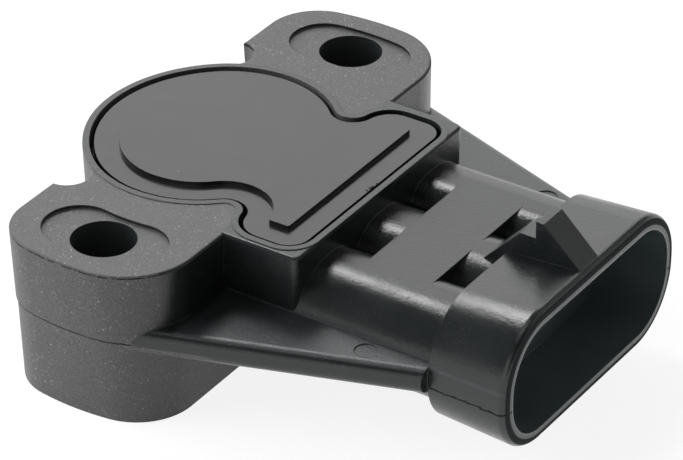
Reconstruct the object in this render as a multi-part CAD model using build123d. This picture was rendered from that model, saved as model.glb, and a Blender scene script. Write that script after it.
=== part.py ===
"""Throttle position sensor: a moulded housing with two bolt ears and a three-way socket,
a bonded cover, and a spring-returned rotor whose wiper sweeps a resistor card.

Origin on the rotor axis at the mounting face, +Z up to the cover, +X out of the socket.
Millimetres, and degrees where a name says angle, sweep or travel.
"""
import os
from math import atan2, cos, degrees, hypot, pi, radians, sin, sqrt

from build123d import *

# Housing heights; the drops are measured down from the rim
BODY_HEIGHT = 15.55
PARTING_DROP = 7.1
SOCKET_DROP = 6.95
WEB_DROP = 5.7
FLOOR_LIP = 1.25
WALL_DRAFT = 0.3
PARTING_STEP = 0.1
EDGE_ROUND = 0.2

# Rotor
JOURNAL_RADIUS = 6.0
JOURNAL_CLEARANCE = 0.05
ROTOR_RECESS = 0.4
HUB_STEP = 0.8
FLANGE_MARGIN = 0.9
FLANGE_THICKNESS = 1.4
FLANGE_GAP = 0.5
PILOT_RADIUS = 2.5
PILOT_CLEARANCE = 0.05
PILOT_DEPTH = 1.2
DRIVE_RADIUS = 4.2
DRIVE_FLAT = 3.0
DRIVE_ROOF = 2.9
AXIAL_PLAY = 0.1

# Rotor stop
TRAVEL = 100.0
STOP_ANGLE = 300.0
STOP_SWEEP = 16.0
STOP_GAP_ANGLE = 1.5
STOP_REACH = 1.4
STOP_CLEARANCE = 0.3

# Shaft seal, thrust washer and return spring
SEAL_SECTION_RADIUS = 0.85
SEAL_SHAFT_GAP = 0.1
SEAL_POCKET_GAP = 0.05
WASHER_THICKNESS = 0.5
WASHER_SHAFT_GAP = 0.3
WASHER_OVERLAP = 0.7
SPRING_WIRE_RADIUS = 0.35
SPRING_PITCH = 1.14
SPRING_GAP = 0.3
SPRING_BEND = 0.6
SPRING_LEG_DEPTH = 1.5
SPRING_HOLE_GAP = 0.1

# Cover outline: a disc run into a wide shoulder round two hollow waist arcs
WAIST_ANGLE = 59.1
WAIST_RADIUS = 2.4
BLEND_OFFSET = 2.95
SHOULDER_STEP = 2.7
SHOULDER_INNER_CORNER = 2.4
SHOULDER_OUTER_CORNER = 1.85
LEAST_CORNER = 0.25

# Cover section, and the cup round it
COVER_LIP = 0.2
GROOVE_WIDTH = 0.45
COVER_SINK = 0.13
COVER_THICKNESS = 1.8
PLATEAU_INSET = 2.1
PLATEAU_RISE = 0.45
COVER_SEAL_WIDTH = 0.9
COVER_SEAL_THICKNESS = 0.3
COVER_RIB_INSET = 1.4
COVER_RIB_WIDTH = 0.6
CUP_RIM = 0.65
SHOULDER_RIM = 0.6
SHOULDER_SIDE = 1.0
SHOULDER_CORNER = 0.7
LAND_WIDTH = 0.62
LAND_RAISE = 0.08

# Resistor card and its printed films
CARD_THICKNESS = 0.8
CARD_INSET = 1.15
CARD_CLEARANCE = 0.15
CARD_LEDGE = 0.7
CARD_DROP = 0.9
FILM_THICKNESS = 0.1
TRACK_MARGIN = 1.9
TRACK_STEP = 3.0
TRACK_WIDTH = 1.6
TRACK_SWEEP = 120.0
LEAD_SWEEP = 90.0
LEAD_WIDTH = 1.2
PAD_RADIUS = 0.9

# Wiper contact
WIPER_SPACE = 1.72
WIPER_SHEET = 0.2
WIPER_ANGLE = 130.0
WIPER_GAP = 0.1
WIPER_ARM = 3.0
WIPER_FINGER = 0.35
WIPER_FINGER_GAP = 0.2
STUD_RADIUS = 0.45
STUD_CLEARANCE = 0.05
STUD_HEIGHT = 0.45

# Bolt ears
HOLE_PITCH = 40.2
HOLE_RADIUS = 3.0
EAR_END_MARGIN = 5.8
EAR_FRONT = 8.6
EAR_BACK = 9.1
EAR_FRONT_CORNER = 7.0
EAR_FOOT_CORNER = 5.8
EAR_BACK_CORNER = 5.4
EAR_ROOT_GAP = 1.55
EAR_ROOT_FILLET = 2.2
RECESS_DEPTH = 0.35
RECESS_MARGIN = 0.45
RECESS_SWEEP = 16.0

# Neck tubes, the valleys between them on either side of a flat pad, and the web
TUBE_PITCH = 9.2
TUBE_LAP = 0.2
TUBE_WALL = 2.2
TUBE_END_WALL = 1.8
NECK_LENGTH = 14.2
PAD_GAP = 3.45
PAD_LENGTH = 6.8
VALLEY_RIDGE = 0.8
VALLEY_SIDE = 1.4
WEB_THICKNESS = 2.5
WEB_EAR_INSET = 2.4
WEB_OVERHANG = 0.9
WEB_ROUND = 1.2
EJECTOR_RADIUS = 1.1
EJECTOR_DEPTH = 0.1
EJECTOR_SETBACK = 5.9

# Socket shroud
SHROUD_LENGTH = 8.0
SHROUD_MARGIN = 0.9
SHROUD_HALF_HEIGHT = 6.8
SHROUD_FLAT = 0.45
SHROUD_TAPER = 0.5
SHROUD_SIDE_TAPER = 0.2
SHROUD_BACK_FLAT = 0.1
SHROUD_WALL = 1.4
SHROUD_BACK_WALL = 1.3
MOUTH_ROUND = 0.7

# Latch ramp on the shroud
LATCH_HALF_WIDTH = 1.55
LATCH_SETBACK = 1.2
LATCH_STEP_LENGTH = 1.6
LATCH_CREST = 0.8
LATCH_STEP_HEIGHT = 1.85
LATCH_HEIGHT = 3.55
LATCH_TIP_GAP = 0.6
LATCH_TAIL = 2.4

# Terminals
TERMINAL_MARGIN = 3.05
TERMINAL_SPACE = 1.0
CHAMBER_WALL = 1.2
PIN_RADIUS = 1.0
PIN_TIP_DEPTH = 1.0
PIN_NOSE = 0.6
PIN_CLEARANCE = 0.03
TAIL_SETBACK = 3.05
TAIL_WIDTH = 0.8
TAIL_HOLE_RADIUS = 0.62
TAIL_PROUD = 0.45
SOLDER_HEIGHT = 0.35
SOLDER_TOP_RADIUS = 0.65

# Radii worked outwards from the rotor's journal
BORE_RADIUS = JOURNAL_RADIUS + JOURNAL_CLEARANCE
HUB_RADIUS = JOURNAL_RADIUS + HUB_STEP
SEAL_RING_RADIUS = JOURNAL_RADIUS + SEAL_SHAFT_GAP + SEAL_SECTION_RADIUS
SEAL_POCKET_RADIUS = SEAL_RING_RADIUS + SEAL_SECTION_RADIUS + SEAL_POCKET_GAP
WASHER_RADIUS = SEAL_POCKET_RADIUS + WASHER_OVERLAP
SPRING_RADIUS = WASHER_RADIUS + SPRING_GAP + SPRING_WIRE_RADIUS
SPRING_HOLE_RADIUS = SPRING_WIRE_RADIUS + SPRING_HOLE_GAP
FLANGE_RADIUS = SPRING_RADIUS + FLANGE_MARGIN
CAVITY_RADIUS = FLANGE_RADIUS + FLANGE_GAP
CAVITY_INSET = CARD_INSET + CARD_LEDGE
COVER_RADIUS = CAVITY_RADIUS + CAVITY_INSET
POCKET_MARGIN = COVER_LIP + GROOVE_WIDTH
CUP_RADIUS = COVER_RADIUS + POCKET_MARGIN + CUP_RIM
STOP_RADIUS = CAVITY_RADIUS - STOP_REACH
TRACK_RADIUS = FLANGE_RADIUS - TRACK_MARGIN
COLLECTOR_RADIUS = TRACK_RADIUS - TRACK_STEP

# Places along the socket's axis and across it
COVER_REACH = COVER_RADIUS + SHOULDER_STEP
SHOULDER_REACH = COVER_REACH + POCKET_MARGIN + SHOULDER_RIM
TUBE_BORE_START = SHOULDER_REACH + TUBE_END_WALL
SHROUD_START = SHOULDER_REACH + NECK_LENGTH
SOCKET_FLOOR = SHROUD_START + SHROUD_BACK_WALL
MOUTH = SHROUD_START + SHROUD_LENGTH
PIN_TIP = SHROUD_START - PIN_TIP_DEPTH
TAIL_REACH = COVER_REACH - TAIL_SETBACK
TUBE_PLACES = [-TUBE_PITCH, 0.0, TUBE_PITCH]
TUBE_RADIUS = TUBE_PITCH / 2 + TUBE_LAP
TUBE_BORE_RADIUS = TUBE_RADIUS - TUBE_WALL
COVER_HALF_WIDTH = TUBE_PITCH + TERMINAL_MARGIN
SHOULDER_HALF_WIDTH = COVER_HALF_WIDTH + POCKET_MARGIN + SHOULDER_SIDE
SHROUD_HALF_WIDTH = TUBE_PITCH + TUBE_RADIUS + SHROUD_MARGIN
EAR_END_RADIUS = HOLE_PITCH / 2 + EAR_END_MARGIN
EAR_ROOT = CUP_RADIUS + EAR_ROOT_GAP
FOOT_INSET = 2 * WALL_DRAFT + PARTING_STEP

# Levels
PARTING_HEIGHT = BODY_HEIGHT - PARTING_DROP
SOCKET_AXIS_HEIGHT = BODY_HEIGHT - SOCKET_DROP
WEB_TOP = BODY_HEIGHT - WEB_DROP
WEB_BOTTOM = WEB_TOP - WEB_THICKNESS
LAND_TOP = BODY_HEIGHT + LAND_RAISE
COVER_TOP = BODY_HEIGHT - COVER_SINK
COVER_BOTTOM = COVER_TOP - COVER_THICKNESS
COVER_LEDGE = COVER_BOTTOM - COVER_SEAL_THICKNESS
CARD_TOP = COVER_BOTTOM - CARD_DROP
CARD_SEAT = CARD_TOP - CARD_THICKNESS
FILM_BOTTOM = CARD_SEAT - FILM_THICKNESS
FLANGE_TOP = FILM_BOTTOM - WIPER_SPACE
FLANGE_BOTTOM = FLANGE_TOP - FLANGE_THICKNESS
SEAL_POCKET_DEPTH = 2 * SEAL_SECTION_RADIUS + SEAL_POCKET_GAP
FLOOR_THICKNESS = SEAL_POCKET_DEPTH + FLOOR_LIP
WASHER_TOP = FLOOR_THICKNESS + WASHER_THICKNESS
SPRING_BOTTOM = WASHER_TOP + SPRING_GAP + SPRING_WIRE_RADIUS
SPRING_TOP = FLANGE_BOTTOM - SPRING_GAP - SPRING_WIRE_RADIUS
TERMINAL_FLOOR = SOCKET_AXIS_HEIGHT - PIN_RADIUS - TERMINAL_SPACE
CHAMBER_BOTTOM = TERMINAL_FLOOR - CHAMBER_WALL
TUBE_TOP = SOCKET_AXIS_HEIGHT + TUBE_RADIUS
SHROUD_TOP = SOCKET_AXIS_HEIGHT + SHROUD_HALF_HEIGHT


def prism(face, bottom, top):
    """A flat face on the XY plane raised into a solid between two heights."""
    return Pos(0, 0, bottom) * extrude(face, amount=top - bottom, dir=(0, 0, 1))


def disc(radius, bottom, top):
    """An upright cylinder on the rotor axis."""
    return prism(Circle(radius), bottom, top)


def along_x(face, start, end):
    """A face drawn in Y and Z raised into a solid between two places along X."""
    return Pos(start, 0, 0) * extrude(Plane.YZ * face, amount=end - start, dir=(1, 0, 0))


def polar(centre, radius, angle):
    """The point at an angle in radians on a circle."""
    return (centre[0] + radius * cos(angle), centre[1] + radius * sin(angle))


def bend(centre, radius, start, end):
    """A circular arc between two angles in radians."""
    middle = (start + end) / 2
    points = [polar(centre, radius, angle) for angle in (start, middle, end)]
    return ThreePointArc(*points)


def circle_meeting(target, first, second):
    """Where a circle of radius first about the axis meets one of radius second about target,
    on the side reached by turning anticlockwise from target."""
    away = hypot(*target)
    along = (first ** 2 - second ** 2 + away ** 2) / (2 * away)
    aside = sqrt(first ** 2 - along ** 2)
    unit = (target[0] / away, target[1] / away)
    return (unit[0] * along - unit[1] * aside, unit[1] * along + unit[0] * aside)


def arc_band(inner, outer, start, sweep):
    """A band of a ring about the rotor axis, angles in degrees."""
    first = radians(start)
    last = radians(start + sweep)
    return make_face([
        bend((0, 0), outer, first, last),
        Line(polar((0, 0), outer, last), polar((0, 0), inner, last)),
        bend((0, 0), inner, last, first),
        Line(polar((0, 0), inner, first), polar((0, 0), outer, first)),
    ])


def half_keyhole(grow):
    """Edges of the cover's outline on the +Y side, moved outwards by grow."""
    radius = COVER_RADIUS + grow
    waist = WAIST_RADIUS - grow
    blend = COVER_RADIUS - BLEND_OFFSET + grow
    inner = max(SHOULDER_INNER_CORNER + grow, LEAST_CORNER)
    outer = max(SHOULDER_OUTER_CORNER + grow, LEAST_CORNER)
    width = COVER_HALF_WIDTH + grow
    reach = COVER_REACH + grow

    # The waist's centre lies on the disc; the blend touches the disc from inside and the waist from outside
    centre = polar((0, 0), COVER_RADIUS, radians(WAIST_ANGLE))
    blend_centre = circle_meeting(centre, radius - blend, waist + blend)
    corner_y = width - inner
    corner_x = centre[0] + sqrt((waist + inner) ** 2 - (corner_y - centre[1]) ** 2)
    corner_centre = (corner_x, corner_y)
    end_centre = (reach - outer, width - outer)

    disc_end = atan2(blend_centre[1], blend_centre[0])
    blend_end = atan2(centre[1] - blend_centre[1], centre[0] - blend_centre[0])
    waist_end = atan2(corner_y - centre[1], corner_x - centre[0])
    return [
        bend((0, 0), radius, pi, disc_end),
        bend(blend_centre, blend, disc_end, blend_end),
        bend(centre, waist, blend_end - pi, waist_end),
        bend(corner_centre, inner, waist_end + pi, pi / 2),
        Line(polar(corner_centre, inner, pi / 2), polar(end_centre, outer, pi / 2)),
        bend(end_centre, outer, pi / 2, 0),
        Line(polar(end_centre, outer, 0), (reach, 0)),
    ]


def keyhole(grow):
    """The cover's whole outline as a face, moved outwards by grow."""
    edges = half_keyhole(grow)
    mirrored = [edge.mirror(Plane.XZ) for edge in edges]
    return make_face(edges + mirrored)


def ear_outline(inset):
    """One bolt ear on the +Y side; inset draws in its end, back and root, not its flat front."""
    end = EAR_END_RADIUS - inset
    back = EAR_BACK - inset
    corner = EAR_FRONT_CORNER + (EAR_FOOT_CORNER - EAR_FRONT_CORNER) * inset / FOOT_INSET
    front_x = EAR_FRONT - corner
    front_y = sqrt((end - corner) ** 2 - front_x ** 2)
    back_x = EAR_BACK_CORNER - back
    back_y = sqrt((end - EAR_BACK_CORNER) ** 2 - back_x ** 2)
    front_angle = atan2(front_y, front_x)
    back_angle = atan2(back_y, back_x)

    # The root fillet starts at the ear's inner corner and touches the cup
    fillet_centre = circle_meeting((-EAR_BACK, EAR_ROOT), CUP_RADIUS + EAR_ROOT_FILLET, EAR_ROOT_FILLET)
    hollow = EAR_ROOT_FILLET + inset
    root_x = -back - fillet_centre[0]
    root_angle = atan2(sqrt(hollow ** 2 - root_x ** 2), root_x)
    cup_angle = atan2(-fillet_centre[1], -fillet_centre[0])
    return make_face([
        Line((EAR_FRONT, 0), (EAR_FRONT, front_y)),
        bend((front_x, front_y), corner, 0, front_angle),
        bend((0, 0), end, front_angle, back_angle),
        bend((back_x, back_y), EAR_BACK_CORNER, back_angle, pi),
        Line((-back, back_y), polar(fillet_centre, hollow, root_angle)),
        bend(fillet_centre, hollow, root_angle, cup_angle),
        Line(polar(fillet_centre, hollow, cup_angle), (0, 0)),
        Line((0, 0), (EAR_FRONT, 0)),
    ])


def cup_outline(inset):
    """The round cup's outline, drawn in by inset."""
    return Circle(CUP_RADIUS - inset)


def drafted(outline):
    """A wall from the mounting face to the rim, drawn in below and stepped at the parting line."""
    rim = Pos(0, 0, BODY_HEIGHT) * outline(0)
    above = Pos(0, 0, PARTING_HEIGHT) * outline(WALL_DRAFT)
    below = Pos(0, 0, PARTING_HEIGHT) * outline(WALL_DRAFT + PARTING_STEP)
    foot = outline(FOOT_INSET)
    return top_rounded(loft([above, rim])) + loft([foot, below])


def top_rounded(solid):
    """A solid with its top edges rounded, save those that run in to the rotor axis."""
    edges = solid.faces().sort_by(Axis.Z)[-1].edges()
    outer = [edge for edge in edges if min(hypot(end.X, end.Y) for end in edge.vertices()) > EDGE_ROUND]
    return fillet(outer, EDGE_ROUND)


def recess():
    """The shallow curved pad round one bolt hole, as a face on the +Y side."""
    middle = HOLE_PITCH / 2
    half = HOLE_RADIUS + RECESS_MARGIN
    spread = radians(RECESS_SWEEP) / 2
    start = pi / 2 - spread
    end = pi / 2 + spread
    return make_face([
        bend((0, 0), middle + half, start, end),
        bend(polar((0, 0), middle, end), half, end, end + pi),
        bend((0, 0), middle - half, end, start),
        bend(polar((0, 0), middle, start), half, start - pi, start),
    ])


def ear():
    """One bolt ear, standing from the mounting face to the rim, with its hole."""
    hole = Pos(0, HOLE_PITCH / 2, 0) * disc(HOLE_RADIUS, 0, BODY_HEIGHT)
    pad = prism(recess(), BODY_HEIGHT - RECESS_DEPTH, BODY_HEIGHT)
    return drafted(ear_outline) - hole - pad


def cup():
    """The round cup with its shoulder and the raised land round the cover."""
    blank = RectangleRounded(SHOULDER_REACH, 2 * SHOULDER_HALF_WIDTH, SHOULDER_CORNER)
    shoulder = top_rounded(prism(Pos(SHOULDER_REACH / 2, 0) * blank, CHAMBER_BOTTOM, BODY_HEIGHT))
    land = prism(keyhole(POCKET_MARGIN + LAND_WIDTH), BODY_HEIGHT - EDGE_ROUND, LAND_TOP)
    return drafted(cup_outline) + shoulder + land


def web_edge(x):
    """Half the web's width: a straight line from the ear's end to just past the shroud's side."""
    ear_side = EAR_END_RADIUS - WEB_EAR_INSET
    shroud_side = SHROUD_HALF_WIDTH + WEB_OVERHANG
    share = (x - EAR_FRONT) / (SHROUD_START - EAR_FRONT)
    return ear_side + (shroud_side - ear_side) * share


def web():
    """The round-edged gusset plate that ties the ears to the socket, with two ejector marks."""
    corners = [(x, web_edge(x)) for x in (EAR_FRONT / 2, SHROUD_START)]
    outline = corners + [(x, -y) for x, y in reversed(corners)]
    plate = prism(make_face(Polyline(*outline, close=True)), WEB_BOTTOM, WEB_TOP)
    sides = [edge for edge in plate.edges() if abs((edge % 0).X) > abs((edge % 0).Y)]
    plate = fillet(sides, WEB_ROUND)
    mark_x = SHROUD_START - EJECTOR_SETBACK
    mark_y = (TUBE_PITCH + TUBE_RADIUS + web_edge(mark_x) - WEB_ROUND) / 2
    for side in (-1, 1):
        plate -= Pos(mark_x, side * mark_y, 0) * disc(EJECTOR_RADIUS, WEB_TOP - EJECTOR_DEPTH, WEB_TOP)
    return plate


def valley():
    """The section of the valley on the +Y side in Y and Z, between the rounded crowns of two tubes."""
    start = VALLEY_RIDGE
    end = TUBE_PITCH - VALLEY_SIDE
    inner = TUBE_RADIUS - VALLEY_RIDGE
    outer = TUBE_RADIUS - VALLEY_SIDE
    block = Pos((start + end) / 2, TUBE_TOP - outer / 2) * Rectangle(end - start, outer)
    return block - Pos(start, TUBE_TOP - inner) * Circle(inner) - Pos(end, TUBE_TOP - outer) * Circle(outer)


def neck():
    """Three tubes under one flat deck, with valleys between them before and after a pad."""
    tubes = [Pos(place, SOCKET_AXIS_HEIGHT) * Circle(TUBE_RADIUS) for place in TUBE_PLACES]
    deck = Pos(0, SOCKET_AXIS_HEIGHT + TUBE_RADIUS / 2) * Rectangle(2 * TUBE_PITCH, TUBE_RADIUS)
    body = along_x(deck + tubes, COVER_REACH, SOCKET_FLOOR)
    pad_start = SHOULDER_REACH + PAD_GAP
    for start, end in ((SHOULDER_REACH, pad_start), (pad_start + PAD_LENGTH, SHROUD_START)):
        cut = along_x(valley(), start, end)
        body = body - cut - cut.mirror(Plane.XZ)
    return body


def shroud_section(side_inset, top_inset, flat):
    """The socket's rounded section in Y and Z; flat is half the straight part of its side."""
    width = 2 * (SHROUD_HALF_WIDTH - side_inset)
    half_height = SHROUD_HALF_HEIGHT - top_inset
    return Pos(0, SOCKET_AXIS_HEIGHT) * RectangleRounded(width, 2 * half_height, half_height - flat)


def shroud():
    """The flared socket shroud, still solid, with its latch ramp on top."""
    back = shroud_section(SHROUD_SIDE_TAPER, SHROUD_TAPER, SHROUD_BACK_FLAT)
    mouth = shroud_section(0, 0, SHROUD_FLAT)
    outside = loft([Plane.YZ.offset(SHROUD_START) * back, Plane.YZ.offset(MOUTH) * mouth])
    outside = fillet(outside.faces().sort_by(Axis.X)[-1].edges(), MOUTH_ROUND)
    return outside + latch()


def latch():
    """The latch ramp: a tail rising from the middle tube, a low step, a crest and a slope to the mouth."""
    tail_base = TUBE_TOP - TUBE_WALL / 2
    base = SHROUD_TOP - SHROUD_TAPER - MOUTH_ROUND
    step = SHROUD_TOP + LATCH_STEP_HEIGHT
    crest = SHROUD_TOP + LATCH_HEIGHT
    tail = SHROUD_START - LATCH_TAIL
    start = SHROUD_START + LATCH_SETBACK
    crest_start = start + LATCH_STEP_LENGTH
    tip = MOUTH - LATCH_TIP_GAP
    profile = make_face(Polyline(
        (tail, tail_base),
        (tail, TUBE_TOP),
        (start, step),
        (crest_start, step),
        (crest_start, crest),
        (crest_start + LATCH_CREST, crest),
        (tip, SHROUD_TOP),
        (tip, base),
        (SHROUD_START, base),
        (SHROUD_START, tail_base),
        close=True,
    ))
    return extrude(Plane.XZ * profile, amount=LATCH_HALF_WIDTH, both=True)


def stop_lug():
    """The stop that stands in from the cup's wall into the flange's notch."""
    root = (CAVITY_RADIUS + CUP_RADIUS) / 2
    outline = arc_band(STOP_RADIUS, root, STOP_ANGLE - STOP_SWEEP / 2, STOP_SWEEP)
    return prism(outline, FLANGE_BOTTOM, FLANGE_TOP)


def socket_cuts():
    """The socket, the three tube bores and the pin holes."""
    cuts = [along_x(shroud_section(SHROUD_WALL, SHROUD_WALL, SHROUD_FLAT), SOCKET_FLOOR, MOUTH)]
    for place in TUBE_PLACES:
        centre = Pos(place, SOCKET_AXIS_HEIGHT)
        cuts.append(along_x(centre * Circle(TUBE_BORE_RADIUS), TUBE_BORE_START, MOUTH))
        cuts.append(along_x(centre * Circle(PIN_RADIUS + PIN_CLEARANCE), TAIL_REACH, TUBE_BORE_START))
    return cuts


def housing():
    """The one-piece moulding, with its cover seat, cavities, bores and socket."""
    ears = ear() + ear().mirror(Plane.XZ)
    body = cup() + ears + web() + neck() + shroud()
    body -= prism(keyhole(POCKET_MARGIN), COVER_LEDGE, LAND_TOP)
    body -= prism(keyhole(CARD_CLEARANCE - CARD_INSET), CARD_SEAT, COVER_LEDGE)
    body -= prism(keyhole(-CAVITY_INSET), TERMINAL_FLOOR, CARD_SEAT)
    body -= disc(CAVITY_RADIUS, FLOOR_THICKNESS, CARD_SEAT)
    body -= disc(SEAL_POCKET_RADIUS, FLOOR_THICKNESS - SEAL_POCKET_DEPTH, FLOOR_THICKNESS)
    body -= disc(BORE_RADIUS, 0, FLOOR_THICKNESS)
    body -= leg_hole(lower_leg(), FLOOR_THICKNESS - SPRING_LEG_DEPTH, FLOOR_THICKNESS)
    for cut in socket_cuts():
        body -= cut
    return body + stop_lug()


def cover():
    """The cover plate: raised plateau on top, holding rib and pilot bore below."""
    plate = prism(keyhole(COVER_LIP), COVER_BOTTOM, COVER_TOP)
    plateau = prism(keyhole(-PLATEAU_INSET), COVER_TOP, COVER_TOP + PLATEAU_RISE)
    rib_outline = keyhole(-COVER_RIB_INSET) - keyhole(-COVER_RIB_INSET - COVER_RIB_WIDTH)
    rib = prism(rib_outline, CARD_TOP, COVER_BOTTOM)
    pilot = disc(PILOT_RADIUS + PILOT_CLEARANCE, COVER_BOTTOM, COVER_BOTTOM + PILOT_DEPTH)
    return plate + plateau + rib - pilot


def cover_seal():
    """The cured bead between the cover's edge and its ledge."""
    return prism(keyhole(0) - keyhole(-COVER_SEAL_WIDTH), COVER_LEDGE, COVER_BOTTOM)


def tail_holes():
    """Circles in the card and its films for the three terminal tails."""
    return Sketch() + [Pos(TAIL_REACH, place) * Circle(TAIL_HOLE_RADIUS) for place in TUBE_PLACES]


def resistor_card():
    """The insulating card that carries the printed films on its underside."""
    centre_hole = Circle(PILOT_RADIUS + PILOT_CLEARANCE + CARD_CLEARANCE)
    outline = keyhole(-CARD_INSET) - centre_hole - tail_holes()
    return prism(outline, CARD_SEAT, CARD_TOP)


def film(outline):
    """A printed film on the card's underside."""
    return prism(outline, FILM_BOTTOM, CARD_SEAT)


def track_band(radius, start, sweep):
    """A film-wide band of a ring about the rotor axis."""
    return arc_band(radius - TRACK_WIDTH / 2, radius + TRACK_WIDTH / 2, start, sweep)


def resistor_track():
    """The resistive arc that the wiper sweeps."""
    return film(track_band(TRACK_RADIUS, 180 - TRACK_SWEEP / 2, TRACK_SWEEP))


def collector_track():
    """The collecting ring that feeds the wiper's signal to the middle terminal."""
    half = TRACK_WIDTH / 2
    return film(Circle(COLLECTOR_RADIUS + half) - Circle(COLLECTOR_RADIUS - half))


def conductor_leads():
    """Silvered leads from the films to the three terminal tails."""
    lead_end = 180 - TRACK_SWEEP / 2 - LEAD_SWEEP
    corner = polar((0, 0), TRACK_RADIUS, radians(lead_end))
    tail = (TAIL_REACH, TUBE_PITCH)
    strip_length = hypot(tail[0] - corner[0], tail[1] - corner[1])
    strip_angle = degrees(atan2(tail[1] - corner[1], tail[0] - corner[0]))
    middle = ((tail[0] + corner[0]) / 2, (tail[1] + corner[1]) / 2)
    strip = Pos(*middle) * Rot(0, 0, strip_angle) * Rectangle(strip_length, LEAD_WIDTH)
    side = track_band(TRACK_RADIUS, lead_end, LEAD_SWEEP) + strip + Pos(*tail) * Circle(PAD_RADIUS)
    inner = COLLECTOR_RADIUS + TRACK_WIDTH / 2
    centre = Pos(TAIL_REACH / 2, 0) * Rectangle(TAIL_REACH, LEAD_WIDTH) - Circle(inner)
    centre += Pos(TAIL_REACH, 0) * Circle(PAD_RADIUS)
    return film(side + side.mirror(Plane.XZ) + centre - tail_holes())


def terminal(place):
    """A round pin in its tube, with a square tail turned up through the card."""
    pin = along_x(Pos(place, SOCKET_AXIS_HEIGHT) * Circle(PIN_RADIUS), TAIL_REACH - TAIL_WIDTH / 2, PIN_TIP)
    pin = chamfer(pin.faces().sort_by(Axis.X)[-1].edges(), PIN_NOSE)
    tail_outline = Pos(TAIL_REACH, place) * Rectangle(TAIL_WIDTH, TAIL_WIDTH)
    return pin + prism(tail_outline, SOCKET_AXIS_HEIGHT, CARD_TOP + TAIL_PROUD)


def solder_joints():
    """Three solder cones that fix the tails to the card."""
    cone = Pos(0, 0, CARD_TOP + SOLDER_HEIGHT / 2) * Cone(PAD_RADIUS, SOLDER_TOP_RADIUS, SOLDER_HEIGHT)
    cone -= prism(Rectangle(TAIL_WIDTH, TAIL_WIDTH), CARD_TOP, CARD_TOP + SOLDER_HEIGHT)
    return Compound(children=[Pos(TAIL_REACH, place, 0) * cone for place in TUBE_PLACES])


def wiper_place():
    """Turns the wiper's own frame, with its track radii along Y, to its rest angle."""
    return Rot(0, 0, WIPER_ANGLE - 90)


def wiper_studs(radius):
    """Circles for the two studs that hold the wiper to the rotor."""
    tracks = (COLLECTOR_RADIUS, TRACK_RADIUS)
    return Sketch() + [wiper_place() * Pos(0, track) * Circle(radius) for track in tracks]


def stop_notch():
    """The gap in the flange's edge that lets the housing's stop through its travel."""
    start = STOP_ANGLE - STOP_SWEEP / 2 - TRAVEL - STOP_GAP_ANGLE
    sweep = TRAVEL + STOP_SWEEP + 2 * STOP_GAP_ANGLE
    return arc_band(STOP_RADIUS - STOP_CLEARANCE, CAVITY_RADIUS, start, sweep)


def spring_coil():
    """The middle line of the spring's coil."""
    return Pos(0, 0, SPRING_BOTTOM) * Helix(SPRING_PITCH, SPRING_TOP - SPRING_BOTTOM, SPRING_RADIUS)


def lower_leg():
    """Where the spring's lower bend turns straight down."""
    coil = spring_coil()
    return coil @ 0 - (coil % 0) * SPRING_BEND - Vector(0, 0, SPRING_BEND)


def upper_leg():
    """Where the spring's upper bend turns straight up."""
    coil = spring_coil()
    return coil @ 1 + (coil % 1) * SPRING_BEND + Vector(0, 0, SPRING_BEND)


def leg_hole(leg, bottom, top):
    """The hole that one leg of the spring stands in."""
    return Pos(leg.X, leg.Y, 0) * disc(SPRING_HOLE_RADIUS, bottom, top)


def rotor():
    """The rotor: journal, hub, flange and upper pilot, with a flatted drive socket."""
    body = disc(JOURNAL_RADIUS, ROTOR_RECESS, WASHER_TOP + AXIAL_PLAY)
    body += disc(HUB_RADIUS, WASHER_TOP + AXIAL_PLAY, FLANGE_TOP)
    body += disc(FLANGE_RADIUS, FLANGE_BOTTOM, FLANGE_TOP)
    body += disc(PILOT_RADIUS, FLANGE_TOP, COVER_BOTTOM + PILOT_DEPTH - AXIAL_PLAY)
    body += prism(wiper_studs(STUD_RADIUS), FLANGE_TOP, FLANGE_TOP + STUD_HEIGHT)
    drive = Circle(DRIVE_RADIUS) & Rectangle(2 * DRIVE_RADIUS, 2 * DRIVE_FLAT)
    body -= prism(drive, ROTOR_RECESS, FLANGE_TOP - DRIVE_ROOF)
    body -= prism(stop_notch(), FLANGE_BOTTOM, FLANGE_TOP)
    return body - leg_hole(upper_leg(), FLANGE_BOTTOM, FLANGE_TOP)


def wiper_contact():
    """A sprung sheet contact: one base, and fingers that rise to both films."""
    half = TRACK_WIDTH / 2
    inner = COLLECTOR_RADIUS - half
    outer = TRACK_RADIUS + half
    base_outline = Pos(0, (inner + outer) / 2) * Rectangle(2 * half, outer - inner)
    base = prism(base_outline, FLANGE_TOP, FLANGE_TOP + WIPER_SHEET)
    rise = WIPER_SPACE - WIPER_GAP
    reach = half + WIPER_ARM
    profile = make_face(Polyline(
        (half, 0),
        (half, WIPER_SHEET),
        (reach, rise),
        (reach + WIPER_SHEET, rise),
        (reach + WIPER_SHEET, rise - WIPER_SHEET),
        (half + 2 * WIPER_SHEET, 0),
        close=True,
    ))
    finger = extrude(Plane.XZ * profile, amount=WIPER_FINGER / 2, both=True)
    step = WIPER_FINGER + WIPER_FINGER_GAP
    fingers = [
        Pos(0, track + shift * step, FLANGE_TOP) * finger
        for track in (COLLECTOR_RADIUS, TRACK_RADIUS)
        for shift in (-1, 0, 1)
    ]
    holes = prism(wiper_studs(STUD_RADIUS + STUD_CLEARANCE), FLANGE_TOP, FLANGE_TOP + WIPER_SHEET)
    return wiper_place() * (base + fingers) - holes


def shaft_seal():
    """The rubber ring round the rotor's journal, in its pocket in the floor."""
    return Pos(0, 0, FLOOR_THICKNESS - SEAL_SECTION_RADIUS) * Torus(SEAL_RING_RADIUS, SEAL_SECTION_RADIUS)


def thrust_washer():
    """The flat ring that keeps the seal in its pocket and carries the rotor."""
    ring = Circle(WASHER_RADIUS) - Circle(JOURNAL_RADIUS + WASHER_SHAFT_GAP)
    return prism(ring, FLOOR_THICKNESS, WASHER_TOP)


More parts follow.
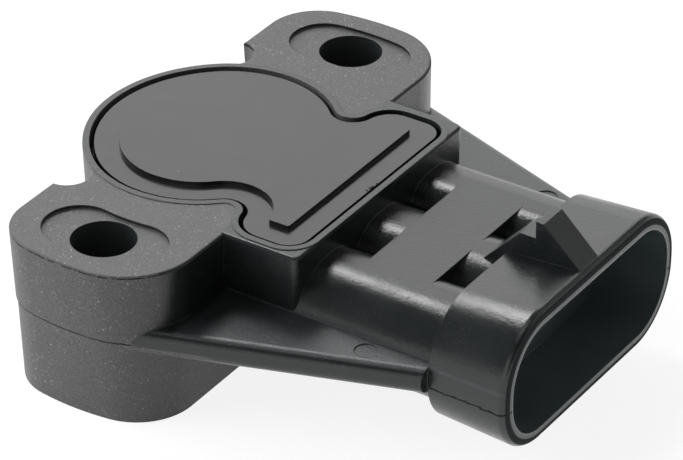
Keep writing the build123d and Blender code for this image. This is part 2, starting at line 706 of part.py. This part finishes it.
def return_spring():
    """The torsion spring round the hub: one wire whose legs turn into the floor and the flange."""
    coil = spring_coil()
    lower = lower_leg()
    upper = upper_leg()
    foot = FLOOR_THICKNESS - SPRING_LEG_DEPTH + SPRING_HOLE_GAP
    head = FLANGE_TOP - SPRING_HOLE_GAP
    wire = Wire([
        Line((lower.X, lower.Y, foot), lower).edge(),
        TangentArc(coil @ 0, lower, tangent=-(coil % 0)).edge(),
        coil.edge(),
        TangentArc(coil @ 1, upper, tangent=coil % 1).edge(),
        Line(upper, (upper.X, upper.Y, head)).edge(),
    ])
    section = Plane(wire @ 0, z_dir=wire % 0) * Circle(SPRING_WIRE_RADIUS)
    return sweep(section, path=wire)


def main():
    os.makedirs("parts", exist_ok=True)
    pieces = {
        "housing": housing(),
        "cover": cover(),
        "cover_seal": cover_seal(),
        "resistor_card": resistor_card(),
        "resistor_track": resistor_track(),
        "collector_track": collector_track(),
        "conductor_leads": conductor_leads(),
        "solder_joints": solder_joints(),
        "rotor": rotor(),
        "wiper_contact": wiper_contact(),
        "shaft_seal": shaft_seal(),
        "thrust_washer": thrust_washer(),
        "return_spring": return_spring(),
    }
    for name, place in zip(("ground", "signal", "supply"), TUBE_PLACES):
        pieces[f"terminal_{name}"] = terminal(place)
    for name, shape in pieces.items():
        export_step(shape, f"parts/{name}.step")


main()
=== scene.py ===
from math import cos, radians, sin

import bpy
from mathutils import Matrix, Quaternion, Vector


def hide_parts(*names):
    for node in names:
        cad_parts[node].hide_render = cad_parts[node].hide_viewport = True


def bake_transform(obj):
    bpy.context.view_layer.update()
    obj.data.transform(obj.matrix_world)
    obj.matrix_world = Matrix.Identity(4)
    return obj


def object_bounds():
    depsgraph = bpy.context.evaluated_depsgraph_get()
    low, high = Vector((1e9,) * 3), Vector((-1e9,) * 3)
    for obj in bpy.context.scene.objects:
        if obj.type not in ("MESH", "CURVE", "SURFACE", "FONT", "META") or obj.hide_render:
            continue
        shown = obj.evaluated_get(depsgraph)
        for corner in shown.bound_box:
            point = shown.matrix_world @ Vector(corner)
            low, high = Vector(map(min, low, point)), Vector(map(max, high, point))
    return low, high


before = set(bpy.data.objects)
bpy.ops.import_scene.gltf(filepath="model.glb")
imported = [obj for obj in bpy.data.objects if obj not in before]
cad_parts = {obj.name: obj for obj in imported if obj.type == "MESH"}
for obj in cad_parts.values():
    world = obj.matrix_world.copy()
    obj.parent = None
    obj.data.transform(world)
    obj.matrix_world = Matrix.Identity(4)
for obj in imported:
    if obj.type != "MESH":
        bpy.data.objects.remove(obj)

CAD_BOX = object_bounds()
MILLIMETRES = 1000.0

# The picture, in pixels; the lens axis meets it at LENS_X, LENS_Y
IMAGE_WIDTH = 683
IMAGE_HEIGHT = 460
LENS_X = 340.7
LENS_Y = 223.1
FOCAL_LENGTH = 4229.6

# Camera, in degrees and metres; it looks at AIM. The sensor's width is in millimetres
AZIMUTH = 32.875
ELEVATION = 32.128
ROLL = 0.446
DISTANCE = 0.386
AIM = Vector((0.012, 0.0, 0.01055))
SENSOR = 36.0
CLIP_START = 0.00386

# Lamps: direction from the object, distance, width and height in metres, radiance where white is 1,
# and which light they give: matt alone, gloss alone or both
LAMPS = {
    "panel": ((-0.52, 0.70, 0.52), 0.9, 0.78, 0.62, 1.29, "both"),
    "softbox": ((-0.50, 0.36, 0.80), 1.0, 0.34, 0.24, 9.5, "both"),
    "side": ((0.55, 0.66, 0.50), 1.0, 0.9, 0.7, 0.28, "both"),
    "fill": ((-0.80, -0.43, 0.43), 1.0, 0.9, 0.8, 4.5, "matt"),
    "top": ((0.05, 0.0, 1.0), 1.0, 0.6, 0.6, 0.8, "gloss"),
    "front": ((0.15, -0.90, 0.42), 1.0, 0.7, 0.6, 0.7, "gloss"),
    "left": ((-0.95, -0.05, 0.30), 1.0, 0.7, 0.5, 0.7, "gloss"),
}

# Watts of a lamp per square metre where its radiance is 1, and radiance of the even light
WATTS_PER_AREA = 4.0
WORLD_BRIGHTNESS = 0.13

# White backdrop that gloss sees low over the floor: it fades between these heights of its direction
BACKDROP_WHITE = 0.1
BACKDROP_END = 0.3

# Floor: its own colour, and what it shows to the camera and to gloss
FLOOR_SIZE = 4.0
FLOOR_GAP = 0.00005
FLOOR_COLOUR = 0.85
FLOOR_ROUGHNESS = 0.9
FLOOR_SHADED = 0.22
FLOOR_GLOW = 0.87

# Places where the finish changes, in millimetres along the frame's axes
EAR_GRAIN_END = 7.9
EAR_GRAIN_FADE = 0.6
EAR_INNER = 14.0
EAR_TOP = 15.35
EAR_EDGE_START = 16.5
RIM = 15.585
HOLE_PLACE = 20.1
HOLE_RADIUS = 3.02
HOLE_EDGE = 3.04
RECESS_HALF_WIDTH = 3.5
RECESS_FLOOR = 15.24
RECESS_TOP = 15.52
EAR_PARTING = 8.45
EAR_CORNER = (2.06, 18.98)
EAR_CORNER_RADIUS = 6.62
FOOT_FRONT = 12.0
WEB_START = 8.6
WEB_LEVEL = 9.85
WEB_SKIN = 0.15
WEB_INNER = 13.5
SOCKET_FLOOR = 31.5
SOCKET_AXIS = 8.6
SOCKET_CORNER = 8.55
SOCKET_FLAT = 0.45
SOCKET_RADIUS = 5.1
MOUTH = 38.5
MOUTH_BAND = 0.3
SHROUD_START = 30.6
SHROUD_PARTING = 7.8
SHROUD_SIDE = 13.0
BURR_X = 15.2
BURR_Y = 0.4

# Widths over which one finish gives way to the next, in millimetres
HAIR = 0.03
FINE = 0.05
EDGE = 0.1
WIDE = 0.2
SOFT = 0.5
FADE = 1.0

# Flash lines of the mould, and a painted shadow line under the ears' top edges, in millimetres: half width,
# soft edge, and how far the line wanders
EAR_LINE = (0.05, 0.06, 0.03)
SHROUD_LINE = (0.06, 0.07, 0.12)
EDGE_SHADOW_LINE = (0.03, 0.05)

# Finish of the black plastic: linear colours, and roughness
SMOOTH_DARK = (0.01, 0.0125, 0.013, 1.0)
SMOOTH_LIGHT = (0.014, 0.017, 0.0175, 1.0)
WEB_BLACK = (0.027, 0.031, 0.033, 1.0)
# Painted light: the socket's inside is coloured paler than the plastic, lifting its shade
SOCKET_PAINTED_LIGHT = (0.105, 0.13, 0.132, 1.0)
# Painted shade in the bolt holes and on the recess walls
HOLE_PAINTED_SHADE = (0.011, 0.014, 0.0145, 1.0)
# Painted shade on the outer part of the socket wall's end
MOUTH_PAINTED_SHADE = (0.002, 0.006, 0.0065, 1.0)
GRAIN_DARK = 0.062
GRAIN_LIGHT = 0.11
# Grey of the flash lines and the burr, and of the painted shadow line under the ears' top edges
LINE_GREY = 0.004
# Grey of the pale specks: dust on the ears, partly painted glints on smooth plastic and the web
DUST_GREY = 0.38
COVER_DARK = 0.012
COVER_LIGHT = 0.017
COVER_DUST_GREY = 0.25
WEB_ROUGHNESS = 0.33
GRAIN_ROUGHNESS = 0.52
HOLE_ROUGHNESS = 0.75
MATT = 1.0
PLASTIC_IOR = 1.57

# Share of the pale specks that lies on smooth plastic and on the web, where the ears have all of it: dust on
# the ears, partly dust and partly painted glints on smooth plastic and the web
SMOOTH_DUST_AND_GLINTS = 0.05
WEB_DUST_AND_GLINTS = 0.35

# Dust specks: the share of a speck's radius, and the share of all specks, that shows in full
SPECK_CORE = 0.3
SPECK_CHANCE = 0.7

# Samples of the softened edges, and the burr's height against the cover's ripple
EDGE_SAMPLES = 6
BURR_HEIGHT = 4.0

# Bare metals: dark and light colour, roughness, and how the drawing marks are squeezed along each axis
METALS = {
    "terminal_brass": ((0.55, 0.52, 0.45), (0.68, 0.66, 0.6), 0.3, (0.3, 3.0, 3.0)),
    "silver_ink": ((0.6, 0.6, 0.58), (0.74, 0.74, 0.72), 0.45, (1.0, 1.0, 1.0)),
    "solder": ((0.62, 0.62, 0.63), (0.76, 0.76, 0.77), 0.22, (1.0, 1.0, 1.0)),
    "contact_alloy": ((0.72, 0.6, 0.36), (0.82, 0.72, 0.48), 0.25, (3.0, 0.3, 1.0)),
    "spring_steel": ((0.45, 0.45, 0.46), (0.6, 0.6, 0.61), 0.28, (1.0, 1.0, 4.0)),
}

# Dull materials: dark and light colour, roughness, grain per millimetre and its depth in millimetres
DULL = {
    "sealant": ((0.02, 0.02, 0.02), (0.035, 0.035, 0.035), 0.5, 2.0, 0.02),
    "card_laminate": ((0.26, 0.2, 0.07), (0.34, 0.27, 0.11), 0.5, 4.0, 0.01),
    "carbon_ink": ((0.012, 0.012, 0.013), (0.02, 0.02, 0.022), 0.55, 6.0, 0.01),
    "rotor_plastic": ((0.66, 0.64, 0.56), (0.76, 0.74, 0.67), 0.42, 4.0, 0.01),
    "seal_rubber": ((0.02, 0.02, 0.02), (0.032, 0.032, 0.032), 0.6, 5.0, 0.02),
    "washer_plastic": ((0.8, 0.79, 0.74), (0.87, 0.86, 0.82), 0.4, 4.0, 0.01),
}

# How far roughness varies below its value, in metals and in dull materials, and above it in both
METAL_SMOOTHER = 0.06
DULL_SMOOTHER = 0.05
ROUGHER = 0.08

# The finish of each node
FINISHES = {
    "housing": "housing_plastic",
    "cover": "cover_plastic",
    "cover_seal": "sealant",
    "resistor_card": "card_laminate",
    "resistor_track": "carbon_ink",
    "collector_track": "carbon_ink",
    "conductor_leads": "silver_ink",
    "solder_joints": "solder",
    "rotor": "rotor_plastic",
    "wiper_contact": "contact_alloy",
    "shaft_seal": "seal_rubber",
    "thrust_washer": "washer_plastic",
    "return_spring": "spring_steel",
    "terminal_ground": "terminal_brass",
    "terminal_signal": "terminal_brass",
    "terminal_supply": "terminal_brass",
}


class Shader:
    """The nodes of a material or world, with short ways to add them."""

    def __init__(self, owner):
        owner.use_nodes = True
        self.owner = owner
        self.tree = owner.node_tree

    def link(self, value, socket):
        """Joins a socket to an input, or writes a plain value there."""
        if isinstance(value, bpy.types.NodeSocket):
            self.tree.links.new(value, socket)
        else:
            socket.default_value = value

    def add(self, kind, inputs, **settings):
        node = self.tree.nodes.new("ShaderNode" + kind)
        for name, value in settings.items():
            setattr(node, name, value)
        for name, value in inputs.items():
            self.link(value, node.inputs[name])
        return node

    def place(self):
        """The point's place in the frame, in millimetres."""
        origin = self.add("TexCoord", {})
        inputs = {0: origin.outputs["Object"], "Scale": MILLIMETRES}
        return self.add("VectorMath", inputs, operation="SCALE").outputs["Vector"]

    def axes(self, place):
        split = self.add("SeparateXYZ", {"Vector": place})
        return [split.outputs[letter] for letter in "XYZ"]

    def stretch(self, place, x, y, z):
        return self.add("VectorMath", {0: place, 1: (x, y, z)}, operation="MULTIPLY").outputs["Vector"]

    def noise(self, place, per_mm, detail=2.0, rough=0.5):
        inputs = {"Vector": place, "Scale": per_mm, "Detail": detail, "Roughness": rough}
        return self.add("TexNoise", inputs).outputs["Fac"]

    def steps(self, value, low, high, out_low=0.0, out_high=1.0):
        """A smooth step of value, from out_low at low to out_high at high."""
        inputs = {"Value": value, "From Min": low, "From Max": high, "To Min": out_low, "To Max": out_high}
        return self.add("MapRange", inputs, interpolation_type="SMOOTHSTEP").outputs["Result"]

    def math(self, operation, first, second=0.0):
        return self.add("Math", {0: first, 1: second}, operation=operation).outputs["Value"]

    def radius(self, first, second):
        """The length of a flat vector."""
        squares = [self.math("MULTIPLY", part, part) for part in (first, second)]
        return self.math("SQRT", self.math("ADD", *squares))

    def both(self, *masks):
        """The product of several masks."""
        product = masks[0]
        for mask in masks[1:]:
            product = self.math("MULTIPLY", product, mask)
        return product

    def either(self, *masks):
        """The largest of several masks."""
        largest = masks[0]
        for mask in masks[1:]:
            largest = self.math("MAXIMUM", largest, mask)
        return largest

    def invert(self, mask):
        return self.math("SUBTRACT", 1.0, mask)

    def within(self, value, centre, half, soft):
        """A mask that is 1 where value lies within half of centre."""
        away = self.math("ABSOLUTE", self.math("SUBTRACT", value, centre))
        return self.steps(away, half + soft, half)

    def between(self, share, first, second):
        """A number share of the way from first to second."""
        mix = self.add("Mix", {0: share, 2: first, 3: second}, data_type="FLOAT")
        return mix.outputs[0]

    def colour_between(self, share, first, second):
        """A colour share of the way from first to second."""
        mix = self.add("Mix", {0: share, 6: first, 7: second}, data_type="RGBA")
        return mix.outputs[2]

    def specks(self, place, cell_mm, radius_mm, share):
        """Small round dots, one in each of a share of cells."""
        cells = self.add("TexVoronoi", {"Vector": place, "Scale": 1 / cell_mm})
        size = radius_mm / cell_mm
        near = self.steps(cells.outputs["Distance"], size, SPECK_CORE * size)
        chance = self.axes(cells.outputs["Color"])[0]
        return self.both(near, self.steps(chance, 1 - share, 1 - SPECK_CHANCE * share))

    def bump(self, height, depth_mm, normal=None):
        inputs = {"Height": height, "Distance": depth_mm / MILLIMETRES}
        if normal is not None:
            inputs["Normal"] = normal
        return self.add("Bump", inputs).outputs["Normal"]

    def rounded(self, radius_mm):
        """A normal that softens sharp edges."""
        inputs = {"Radius": radius_mm / MILLIMETRES}
        return self.add("Bevel", inputs, samples=EDGE_SAMPLES).outputs["Normal"]

    def node(self, name):
        return self.tree.nodes[name]

    def finish(self, **inputs):
        """Sets the inputs of the material's surface."""
        surface = self.node("Principled BSDF")
        for name, value in inputs.items():
            self.link(value, surface.inputs[name.replace("_", " ")])
        return self.owner


def new_material(name):
    return Shader(bpy.data.materials.new(name))


def grey(level):
    return (level, level, level, 1.0)


def flash_line(shader, z, wobble, level, half, soft, wander):
    """A fine line near one level, which wanders up and down."""
    uneven = shader.math("ADD", z, shader.steps(wobble, low=0.3, high=0.7, out_low=-wander, out_high=wander))
    return shader.within(uneven, level, half, soft)


def housing_masks(shader, place):
    """Where each finish of the housing lies."""
    x, y, z = shader.axes(place)
    side = shader.math("ABSOLUTE", y)
    wobble = shader.noise(place, per_mm=0.9, detail=4.0, rough=0.7)
    masks = {}

    # Ears and cup: grained, but smooth above the web where the ear faces the socket
    above = shader.steps(z, EAR_PARTING - EDGE, EAR_PARTING)
    ear_top = shader.both(
        shader.steps(z, EAR_TOP, EAR_TOP + FINE),
        shader.steps(side, EAR_INNER, EAR_INNER + EDGE),
        shader.steps(x, WEB_START + EDGE, WEB_START),
    )
    ear_wall = shader.steps(x, EAR_GRAIN_END + EAR_GRAIN_FADE, EAR_GRAIN_END - EAR_GRAIN_FADE)
    foot = shader.both(shader.invert(above), shader.steps(x, FOOT_FRONT + FADE, FOOT_FRONT))
    from_corner = [shader.math("SUBTRACT", value, middle) for value, middle in zip((x, side), EAR_CORNER)]
    tip_start = EAR_CORNER[0] + FADE
    web_tip = shader.both(
        above,
        shader.steps(z, WEB_LEVEL + EDGE, WEB_LEVEL + FINE),
        shader.steps(x, tip_start, tip_start + SOFT),
        shader.steps(shader.radius(*from_corner), EAR_CORNER_RADIUS, EAR_CORNER_RADIUS + EDGE),
    )
    grained = shader.either(ear_top, ear_wall, foot)
    masks["grained"] = shader.both(grained, shader.invert(web_tip), shader.steps(z, RIM + HAIR, RIM))

    # Bolt holes and the low wall of the pads round them, coloured near-black as painted shade
    from_hole = shader.radius(x, shader.math("SUBTRACT", side, HOLE_PLACE))
    hole = shader.steps(from_hole, HOLE_EDGE, HOLE_RADIUS)
    recess = shader.both(
        shader.within(shader.radius(x, y), HOLE_PLACE, RECESS_HALF_WIDTH, EDGE),
        shader.steps(z, RECESS_FLOOR, RECESS_FLOOR + HAIR),
        shader.steps(z, RECESS_TOP, RECESS_TOP - HAIR),
    )
    masks["black"] = shader.either(hole, recess)

    masks["web"] = shader.both(
        shader.within(z, WEB_LEVEL, WEB_SKIN, EDGE),
        shader.steps(x, WEB_START, WEB_START + FADE),
        shader.steps(side, WEB_INNER, WEB_INNER + WIDE),
    )

    # Socket: its rounded inside, coloured paler as painted light where shade falls, and the outer part of
    # its wall's end
    past_corner = shader.math("MAXIMUM", shader.math("SUBTRACT", side, SOCKET_CORNER))
    past_flat = shader.math("ABSOLUTE", shader.math("SUBTRACT", z, SOCKET_AXIS))
    past_flat = shader.math("MAXIMUM", shader.math("SUBTRACT", past_flat, SOCKET_FLAT))
    from_middle = shader.radius(past_corner, past_flat)
    masks["inside"] = shader.both(
        shader.steps(x, SOCKET_FLOOR, SOCKET_FLOOR + SOFT),
        shader.steps(from_middle, SOCKET_RADIUS + FINE, SOCKET_RADIUS),
    )
    # Painted shade: the outer part of the socket wall's end is coloured darker than the rest of the plastic
    band_end = SOCKET_RADIUS + MOUTH_BAND
    masks["mouth"] = shader.both(
        shader.steps(x, MOUTH - EDGE, MOUTH),
        shader.steps(from_middle, band_end, band_end + EDGE),
    )

    # Fine uneven lines where the mould parted, and a painted shadow line under the ears' top edges
    ear_line = flash_line(shader, z, wobble, EAR_PARTING, *EAR_LINE)
    ear_line = shader.both(ear_line, ear_wall, shader.invert(web_tip))
    shroud_line = shader.both(
        flash_line(shader, z, wobble, SHROUD_PARTING, *SHROUD_LINE),
        shader.steps(x, SHROUD_START, SHROUD_START + WIDE),
        shader.steps(side, SHROUD_SIDE, SHROUD_SIDE + WIDE),
        shader.invert(masks["inside"]),
    )
    # Painted shadow: a dark broken line just under the ears' top edges
    edge_shadow_line = shader.both(
        shader.within(z, EAR_TOP, *EDGE_SHADOW_LINE),
        shader.steps(side, EAR_EDGE_START, EAR_EDGE_START + SOFT),
        shader.steps(wobble, low=0.42, high=0.5),
        ear_wall,
    )
    masks["lines"] = shader.either(ear_line, edge_shadow_line, shroud_line)
    return masks


def housing_dust_and_glints(shader, place, masks):
    """Pale specks: dust, thick on the grained ears, and thin elsewhere, where they are partly dust and
    partly painted glints.
    """
    patches = shader.noise(place, per_mm=0.5)
    patches = shader.steps(patches, low=0.35, high=0.65, out_low=0.2, out_high=1.0)
    sparkle = shader.noise(place, per_mm=5.5, detail=3.0, rough=0.6)
    sparkle = shader.both(shader.steps(sparkle, low=0.6, high=0.7), patches)
    dust = shader.either(sparkle, shader.specks(place, cell_mm=1.1, radius_mm=0.11, share=0.35))
    thickness = shader.either(
        shader.between(masks["grained"], SMOOTH_DUST_AND_GLINTS, 1.0),
        shader.between(masks["web"], 0.0, WEB_DUST_AND_GLINTS),
    )
    return shader.both(dust, thickness)


def housing_finish():
    """Black moulded plastic: grained and dusty on the ears and cup, smooth elsewhere, with painted shade in
    the holes, on the recess walls, under the ears' top edges and on the socket wall's end, painted light
    inside the socket, and painted glints among the pale specks.
    """
    shader = new_material("housing_plastic")
    place = shader.place()
    masks = housing_masks(shader, place)
    grained = masks["grained"]
    grain = shader.noise(place, per_mm=4.5, detail=4.0, rough=0.65)
    clouds = shader.noise(place, per_mm=0.22, detail=3.0)
    dust = housing_dust_and_glints(shader, place, masks)

    black = shader.colour_between(clouds, SMOOTH_DARK, SMOOTH_LIGHT)
    black = shader.colour_between(masks["web"], black, WEB_BLACK)
    # Painted light: the socket's inside is paler, lifting its shade
    black = shader.colour_between(masks["inside"], black, SOCKET_PAINTED_LIGHT)
    dull = shader.steps(grain, low=0.3, high=0.75)
    dull = shader.colour_between(dull, grey(GRAIN_DARK), grey(GRAIN_LIGHT))
    colour = shader.colour_between(grained, black, dull)
    # Pale specks: dust on the ears, and partly painted glints on smooth plastic and the web
    colour = shader.colour_between(dust, colour, grey(DUST_GREY))
    # Painted shade: the bolt holes and recess walls are near-black, darker than the grain round them
    colour = shader.colour_between(masks["black"], colour, HOLE_PAINTED_SHADE)
    # Flash lines, and the painted shadow line under the ears' top edges
    colour = shader.colour_between(masks["lines"], colour, grey(LINE_GREY))
    # Painted shade on the end of the socket's wall
    colour = shader.colour_between(masks["mouth"], colour, MOUTH_PAINTED_SHADE)

    roughness = shader.steps(clouds, low=0.35, high=0.65, out_low=0.18, out_high=0.27)
    roughness = shader.between(masks["web"], roughness, WEB_ROUGHNESS)
    roughness = shader.between(grained, roughness, GRAIN_ROUGHNESS)
    roughness = shader.between(masks["black"], roughness, HOLE_ROUGHNESS)
    roughness = shader.between(shader.either(masks["lines"], masks["mouth"]), roughness, MATT)

    ripple = shader.noise(place, per_mm=3.2, detail=4.0, rough=0.65)
    relief = shader.between(grained, ripple, grain)
    relief = shader.math("SUBTRACT", relief, masks["lines"])
    normal = shader.bump(relief, depth_mm=0.03, normal=shader.rounded(radius_mm=0.1))
    return shader.finish(Base_Color=colour, Roughness=roughness, Normal=normal, IOR=PLASTIC_IOR)


def cover_finish():
    """Smooth black plastic with faint clouds, a few specks and a torn burr at its edge."""
    shader = new_material("cover_plastic")
    place = shader.place()
    x, y = shader.axes(place)[:2]
    clouds = shader.noise(place, per_mm=0.3, detail=3.0)
    dust = shader.specks(place, cell_mm=2.2, radius_mm=0.08, share=0.3)
    flakes = shader.noise(place, per_mm=2.5, detail=3.0, rough=0.7)
    burr = shader.both(
        shader.within(x, BURR_X, half=0.1, soft=0.3),
        shader.within(y, BURR_Y, half=0.6, soft=0.9),
        shader.steps(flakes, low=0.5, high=0.56),
    )
    black = shader.colour_between(clouds, grey(COVER_DARK), grey(COVER_LIGHT))
    colour = shader.colour_between(dust, black, grey(COVER_DUST_GREY))
    colour = shader.colour_between(burr, colour, grey(LINE_GREY))
    roughness = shader.steps(clouds, low=0.3, high=0.7, out_low=0.16, out_high=0.26)
    roughness = shader.between(burr, roughness, MATT)
    ripple = shader.noise(place, per_mm=0.5, detail=1.0)
    relief = shader.math("ADD", ripple, shader.math("MULTIPLY", burr, BURR_HEIGHT))
    normal = shader.bump(relief, depth_mm=0.01, normal=shader.rounded(radius_mm=0.06))
    return shader.finish(Base_Color=colour, Roughness=roughness, Normal=normal, IOR=PLASTIC_IOR)


def varied(shader, texture, roughness, smoother):
    """Roughness that varies with a texture, by smoother below its value and ROUGHER above."""
    low = roughness - smoother
    high = roughness + ROUGHER
    return shader.steps(texture, low=0.2, high=0.8, out_low=low, out_high=high)


def metal_finish(name, dark, light, roughness, drawn):
    """Bare metal with faint drawing marks."""
    shader = new_material(name)
    marks = shader.stretch(shader.place(), *drawn)
    marks = shader.noise(marks, per_mm=4.0, detail=3.0)
    colour = shader.colour_between(marks, (*dark, 1.0), (*light, 1.0))
    rough = varied(shader, marks, roughness, METAL_SMOOTHER)
    normal = shader.bump(marks, depth_mm=0.01)
    return shader.finish(Base_Color=colour, Roughness=rough, Normal=normal, Metallic=1.0)


def dull_finish(name, dark, light, roughness, per_mm, depth_mm):
    """A dull material with clouded colour and a fine grain."""
    shader = new_material(name)
    place = shader.place()
    clouds = shader.noise(place, per_mm=0.4, detail=3.0)
    grain = shader.noise(place, per_mm, detail=3.0)
    colour = shader.colour_between(clouds, (*dark, 1.0), (*light, 1.0))
    rough = varied(shader, grain, roughness, DULL_SMOOTHER)
    normal = shader.bump(grain, depth_mm)
    return shader.finish(Base_Color=colour, Roughness=rough, Normal=normal)


def dress():
    """Gives every node its finish."""
    made = {"housing_plastic": housing_finish(), "cover_plastic": cover_finish()}
    for name, settings in METALS.items():
        made[name] = metal_finish(name, *settings)
    for name, settings in DULL.items():
        made[name] = dull_finish(name, *settings)
    for node, name in FINISHES.items():
        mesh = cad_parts[node].data
        mesh.materials.clear()
        mesh.materials.append(made[name])


def wind_spring():
    """Puts the return spring's mesh in an object of its own, with its place baked in, and hides the CAD
    node.
    """
    spring = bpy.data.objects.new("return_spring_wire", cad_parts["return_spring"].data.copy())
    bpy.context.scene.collection.objects.link(spring)
    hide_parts("return_spring")
    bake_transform(spring)


def make_camera():
    """A camera at the photograph's viewing angle."""
    azimuth = radians(AZIMUTH)
    elevation = radians(ELEVATION)
    back = Vector((sin(azimuth) * cos(elevation), -cos(azimuth) * cos(elevation), sin(elevation)))
    data = bpy.data.cameras.new("camera")
    data.sensor_width = SENSOR
    data.lens = FOCAL_LENGTH * SENSOR / IMAGE_WIDTH
    data.shift_x = (IMAGE_WIDTH / 2 - LENS_X) / IMAGE_WIDTH
    data.shift_y = (LENS_Y - IMAGE_HEIGHT / 2) / IMAGE_WIDTH
    data.clip_start = CLIP_START
    camera = bpy.data.objects.new("camera", data)
    camera.location = AIM + back * DISTANCE
    camera.rotation_mode = "QUATERNION"
    camera.rotation_quaternion = (-back).to_track_quat("-Z", "Y") @ Quaternion((0, 0, 1), radians(ROLL))
    bpy.context.scene.collection.objects.link(camera)
    bpy.context.scene.camera = camera


def make_lamp(name, towards, away, width, height, radiance, light):
    """A soft panel that faces the object."""
    direction = Vector(towards).normalized()
    data = bpy.data.lights.new(name, "AREA")
    data.shape = "RECTANGLE"
    data.size = width
    data.size_y = height
    data.energy = WATTS_PER_AREA * radiance * width * height
    lamp = bpy.data.objects.new(name, data)
    lamp.location = AIM + direction * away
    lamp.rotation_mode = "QUATERNION"
    lamp.rotation_quaternion = (-direction).to_track_quat("-Z", "Y")
    lamp.visible_glossy = light != "matt"
    lamp.visible_diffuse = light != "gloss"
    bpy.context.scene.collection.objects.link(lamp)


def make_world():
    """Dim even light; white to the camera, and to gloss low over the floor."""
    world = bpy.data.worlds.new("studio")
    bpy.context.scene.world = world
    shader = Shader(world)
    direction = shader.add("TexCoord", {}).outputs["Generated"]
    height = shader.axes(direction)[2]
    backdrop = shader.steps(height, BACKDROP_WHITE, BACKDROP_END, 1.0, WORLD_BRIGHTNESS)
    path = shader.add("LightPath", {}).outputs
    mirrored = shader.either(path["Is Glossy Ray"], path["Is Transmission Ray"])
    level = shader.between(mirrored, WORLD_BRIGHTNESS, backdrop)
    level = shader.between(path["Is Camera Ray"], level, 1.0)
    background = shader.node("Background")
    shader.link(grey(1.0), background.inputs["Color"])
    shader.link(level, background.inputs["Strength"])


def floor_finish():
    """A pale floor, clear from below, that shows white with a shadow to the camera and in gloss."""
    shader = new_material("floor_white")
    pale = shader.finish(Base_Color=grey(FLOOR_COLOUR), Roughness=FLOOR_ROUGHNESS)
    shaded = shader.add("BsdfDiffuse", {"Color": grey(FLOOR_SHADED)})
    glow = shader.add("Emission", {"Color": grey(1.0), "Strength": FLOOR_GLOW})
    white = shader.add("AddShader", {0: shaded.outputs["BSDF"], 1: glow.outputs["Emission"]})
    path = shader.add("LightPath", {}).outputs
    seen = shader.either(path["Is Camera Ray"], path["Is Glossy Ray"], path["Is Transmission Ray"])
    plain = shader.node("Principled BSDF").outputs["BSDF"]
    upper = shader.add("MixShader", {0: seen, 1: plain, 2: white.outputs["Shader"]})
    clear = shader.add("BsdfTransparent", {})
    below = shader.add("NewGeometry", {}).outputs["Backfacing"]
    both = shader.add("MixShader", {0: below, 1: upper.outputs["Shader"], 2: clear.outputs["BSDF"]})
    shader.link(both.outputs["Shader"], shader.node("Material Output").inputs["Surface"])
    return pale


def make_floor():
    """A square floor just under the object."""
    half = FLOOR_SIZE / 2
    level = CAD_BOX[0].z - FLOOR_GAP
    mesh = bpy.data.meshes.new("floor")
    corners = [(x, y, level) for x, y in ((-half, -half), (half, -half), (half, half), (-half, half))]
    mesh.from_pydata(corners, [], [(0, 1, 2, 3)])
    mesh.materials.append(floor_finish())
    floor = bpy.data.objects.new("floor", mesh)
    bpy.context.scene.collection.objects.link(floor)


dress()
wind_spring()
make_camera()
make_world()
make_floor()
for lamp_name, settings in LAMPS.items():
    make_lamp(lamp_name, *settings)
bpy.context.scene.view_settings.view_transform = "Standard"
